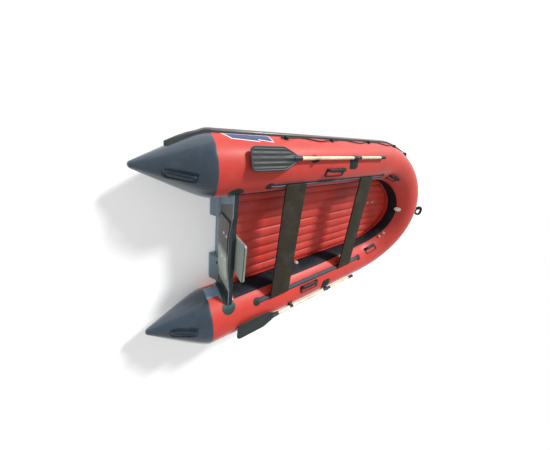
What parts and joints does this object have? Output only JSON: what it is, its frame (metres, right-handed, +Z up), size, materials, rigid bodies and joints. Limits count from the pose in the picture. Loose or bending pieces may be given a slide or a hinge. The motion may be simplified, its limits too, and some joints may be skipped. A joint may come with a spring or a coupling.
{
  "type": "inflatable rescue boat",
  "caption": "Red inflatable inshore boat with a curved bow tube, slate stern cones, ribbed air floor, plywood transom, sliding benches, swinging oars and grab lines.",
  "frame": {"origin": "middle of the boat's bounding box, on the floor under its wear strips", "axes": "+X towards the bow, +Y to port, +Z up"},
  "size_m": [3.4352, 1.8604, 0.5638],
  "materials": {
    "band_blue": "coated dark blue fabric, matt",
    "bench_brown": "dark brown coated board, satin",
    "blade_black": "moulded blackish green, satin",
    "cone_slate": "coated slate-blue fabric, satin",
    "floor_red": "coated red fabric, matt",
    "guard_grey": "dark grey wear strip, matt",
    "line_black": "braided dark cord, matt",
    "plate_grey": "light greenish grey, satin",
    "shaft_cream": "cream coated tube, gloss",
    "transom_grey": "blue-grey painted plywood, satin",
    "trim_black": "moulded dark rubber, satin",
    "tube_red": "coated red fabric, satin",
    "valve_grey": "light grey, satin",
    "valve_white": "white, satin"
  },
  "bodies": {
    "hull": {"bench_rail_port": "trim_black", "bench_rail_starboard": "trim_black", "cone_port": "cone_slate", "cone_starboard": "cone_slate", "grab_line_port": "line_black", "grab_line_starboard": "line_black", "handle_bow_port": "trim_black", "handle_bow_starboard": "trim_black", "handle_middle_port": "trim_black", "handle_middle_starboard": "trim_black", "handle_stern_port": "trim_black", "handle_stern_starboard": "trim_black", "inflatable_floor": "floor_red", "inner_band_bow": "band_blue", "inner_band_port": "band_blue", "inner_band_starboard": "band_blue", "line_eyelet_port_1": "trim_black", "line_eyelet_port_2": "trim_black", "line_eyelet_port_3": "trim_black", "line_eyelet_port_4": "trim_black", "line_eyelet_port_5": "trim_black", "line_eyelet_starboard_1": "trim_black", "line_eyelet_starboard_2": "trim_black", "line_eyelet_starboard_3": "trim_black", "line_eyelet_starboard_4": "trim_black", "line_eyelet_starboard_5": "trim_black", "motor_plate_inner": "plate_grey", "motor_plate_outer": "plate_grey", "oar_clip_port": "trim_black", "oar_clip_starboard": "trim_black", "rowlock_port": "trim_black", "rowlock_starboard": "trim_black", "rub_strake_bow": "trim_black", "rub_strake_port": "trim_black", "rub_strake_starboard": "trim_black", "stern_gusset_port": "cone_slate", "stern_gusset_starboard": "cone_slate", "towing_eye": "trim_black", "transom_board": "transom_grey", "transom_holder_port": "transom_grey", "transom_holder_starboard": "transom_grey", "tube_bow": "tube_red", "tube_guard_port": "guard_grey", "tube_guard_starboard": "guard_grey", "tube_port": "tube_red", "tube_starboard": "tube_red", "valve_bow": "valve_white", "valve_pair_floor": "valve_grey", "valve_pair_tube": "valve_grey", "valve_side": "valve_grey"},
    "oar_port": {"oar_shaft_port": "shaft_cream", "oar_blade_port": "blade_black", "oar_grip_port": "trim_black"},
    "oar_starboard": {"oar_shaft_starboard": "shaft_cream", "oar_blade_starboard": "blade_black", "oar_grip_starboard": "trim_black"},
    "bench_aft": {"bench_aft": "bench_brown"},
    "bench_fore": {"bench_fore": "bench_brown"}
  },
  "joints": [
    {"name": "oar_port_swing", "type": "hinge", "parent": "hull", "child": "oar_port", "pos_m": [0.0323, 0.77627, 0.46709], "axis": [0, -0.3746, -0.9272], "range_deg": [0, 115]},
    {"name": "oar_starboard_swing", "type": "hinge", "parent": "hull", "child": "oar_starboard", "pos_m": [0.0323, -0.74652, 0.47704], "axis": [0, -0.2588, 0.9659], "range_deg": [0, 115]},
    {"name": "bench_aft_slide", "type": "slide", "parent": "hull", "child": "bench_aft", "axis": [1, 0, 0], "range_m": [-0.11, 0.33]},
    {"name": "bench_fore_slide", "type": "slide", "parent": "hull", "child": "bench_fore", "axis": [1, 0, 0], "range_m": [-0.36, 0.195]}
  ]
}
